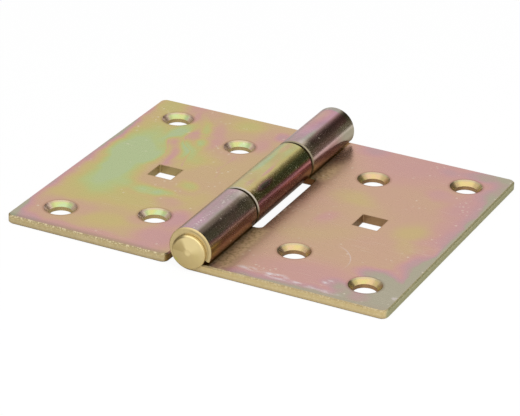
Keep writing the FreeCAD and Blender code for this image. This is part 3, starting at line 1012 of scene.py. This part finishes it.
def floor_material(settings):
    """White to the camera with a faint shadow, and shaded pale grey to all other rays."""
    material, w = bare_material("pale_floor")
    direct = w.node("ShaderNodeLightPath").outputs["Is Camera Ray"]
    share = w.fade(direct, 0.0, 1.0, settings.floor_paleness, settings.shadow)
    grey = w.node("ShaderNodeCombineColor", {0: share, 1: share, 2: share})
    paint = w.node("ShaderNodeBsdfDiffuse", {"Color": grey.outputs[0]})
    own_light = w.times(direct, 1.0 - FLOOR_GLOW_CUT * settings.shadow)
    glow = w.node("ShaderNodeEmission", {"Color": WHITE, "Strength": own_light})
    show(w, w.node("ShaderNodeAddShader", {0: paint.outputs[0], 1: glow.outputs[0]}))
    return material


def flat_card(name, centre, across, up, material):
    """A flat four-sided card round its centre, spanned by two half sides."""
    centre, across, up = Vector(centre), Vector(across), Vector(up)
    mesh = bpy.data.meshes.new(name)
    corners = [centre - across - up, centre + across - up, centre + across + up, centre - across + up]
    mesh.from_pydata(corners, [], [(0, 1, 2, 3)])
    mesh.materials.append(material)
    card = bpy.data.objects.new(name, mesh)
    bpy.context.scene.collection.objects.link(card)
    return card


def area_lamp(name, place, aim, size, power):
    """A four-sided lamp at its place, turned towards its aim."""
    lamp = bpy.data.lights.new(name, "AREA")
    lamp.shape = "RECTANGLE"
    lamp.size, lamp.size_y = size
    lamp.energy = power
    lamp_object = bpy.data.objects.new(name, lamp)
    lamp_object.location = place
    lamp_object.rotation_euler = (Vector(aim) - Vector(place)).to_track_quat("-Z", "Y").to_euler()
    bpy.context.scene.collection.objects.link(lamp_object)
    return lamp_object


def light_world(scene, room_light):
    """White to the camera and in the metal, and a softer light on everything else."""
    world = bpy.data.worlds.new("studio")
    scene.world = world
    world.use_nodes = True
    world.node_tree.nodes.clear()
    w = Wiring(world.node_tree)
    path = w.node("ShaderNodeLightPath").outputs
    seen = w.math("MAXIMUM", path["Is Camera Ray"], path["Is Glossy Ray"])
    seen = w.math("MAXIMUM", seen, path["Is Transmission Ray"])
    strength = w.fade(seen, 0.0, 1.0, room_light, 1.0)
    light = w.node("ShaderNodeBackground", {"Color": WHITE, "Strength": strength})
    w.node("ShaderNodeOutputWorld", {"Surface": light.outputs[0]})


class HINGE_OT_build_stage(bpy.types.Operator):
    """Set up the pale floor, the soft light and the cards beside it"""

    bl_idname = "hinge.build_stage"
    bl_label = "Build Stage"

    def execute(self, context):
        settings = context.scene.hinge_stage
        half = settings.floor_size / 2
        flat_card("floor", (0, 0, FLOOR_HEIGHT), (half, 0, 0), (0, half, 0), floor_material(settings))
        dark = emission_material("dark_card", DARK_CARD)
        grey = emission_material("grey_card", GREY_CARD)
        for name, centre, across, up, material in (
            ("dark_card", (0.44, 0.93, 0.38), (0.35, -0.23, 0), (0, 0, 0.40), dark),
            ("dark_cloth", (0.28, 0.55, 0.001), (0.27, -0.18, 0), (0.20, 0.30, 0), dark),
            ("grey_card", (-0.85, 0.12, 0.22), (0.05, 0.50, 0), (0, 0, 0.24), grey),
        ):
            card = flat_card(name, centre, across, up, material)
            card.visible_camera = False
            card.visible_diffuse = False
            card.visible_shadow = False
        light_world(context.scene, settings.room_light)
        area_lamp("softbox", (0.40, -0.65, 1.30), (0.40, -0.65, 0), (2.6, 1.9), settings.softbox_light)
        key = area_lamp("key", (0.35, -0.26, 0.35), (0, 0, 0), (0.16, 0.16), settings.key_light)
        key.visible_glossy = False
        context.scene.view_settings.view_transform = "Standard"
        return {"FINISHED"}


class HINGE_OT_place_camera(bpy.types.Operator):
    """Stand the camera at the picture's viewing angle"""

    bl_idname = "hinge.place_camera"
    bl_label = "Place Camera"

    def execute(self, context):
        azimuth, elevation, roll = CAMERA_AZIMUTH, CAMERA_ELEVATION, CAMERA_ROLL
        level = Vector((math.sin(azimuth), -math.cos(azimuth), 0)) * math.cos(elevation)
        back = level + Vector((0, 0, math.sin(elevation)))
        level_right = (-back).cross(Vector((0, 0, 1))).normalized()
        level_up = level_right.cross(-back)
        right = math.cos(roll) * level_right + math.sin(roll) * level_up
        up = math.cos(roll) * level_up - math.sin(roll) * level_right
        camera = bpy.data.cameras.new("camera")
        camera.sensor_fit = "HORIZONTAL"
        camera.sensor_width = SENSOR_WIDTH
        camera.lens = FOCAL_PIXELS / PICTURE_WIDTH * SENSOR_WIDTH
        camera.clip_start, camera.clip_end = CAMERA_CLIP
        camera_object = bpy.data.objects.new("camera", camera)
        turn = Matrix((right, up, back)).transposed().to_4x4()
        camera_object.matrix_world = Matrix.Translation(CAMERA_TARGET + back * CAMERA_DISTANCE) @ turn
        context.scene.collection.objects.link(camera_object)
        context.scene.camera = camera_object
        return {"FINISHED"}


class HINGE_PT_panel(bpy.types.Panel):
    """The hinge's steps, in order"""

    bl_idname = "HINGE_PT_panel"
    bl_label = "Hinge"
    bl_space_type = "VIEW_3D"
    bl_region_type = "UI"
    bl_category = "Hinge"

    def draw(self, context):
        for step in STEPS:
            self.layout.operator(step.bl_idname)
        for group in (context.scene.hinge_film, context.scene.hinge_stage):
            column = self.layout.column()
            for name in group.__annotations__:
                column.prop(group, name)


STEPS = (
    HINGE_OT_dress_right_leaf,
    HINGE_OT_dress_left_leaf,
    HINGE_OT_dress_pin,
    HINGE_OT_build_stage,
    HINGE_OT_place_camera,
)
CLASSES = (FilmSettings, StageSettings) + STEPS + (HINGE_PT_panel,)


def register():
    for cls in CLASSES:
        bpy.utils.register_class(cls)
    bpy.types.Scene.hinge_film = bpy.props.PointerProperty(type=FilmSettings)
    bpy.types.Scene.hinge_stage = bpy.props.PointerProperty(type=StageSettings)


def unregister():
    del bpy.types.Scene.hinge_stage
    del bpy.types.Scene.hinge_film
    for cls in reversed(CLASSES):
        bpy.utils.unregister_class(cls)


def main():
    register()
    bpy.ops.hinge.dress_right_leaf()
    bpy.ops.hinge.dress_left_leaf()
    bpy.ops.hinge.dress_pin()
    bpy.ops.hinge.build_stage()
    bpy.ops.hinge.place_camera()


if __name__ == "__main__":
    main()
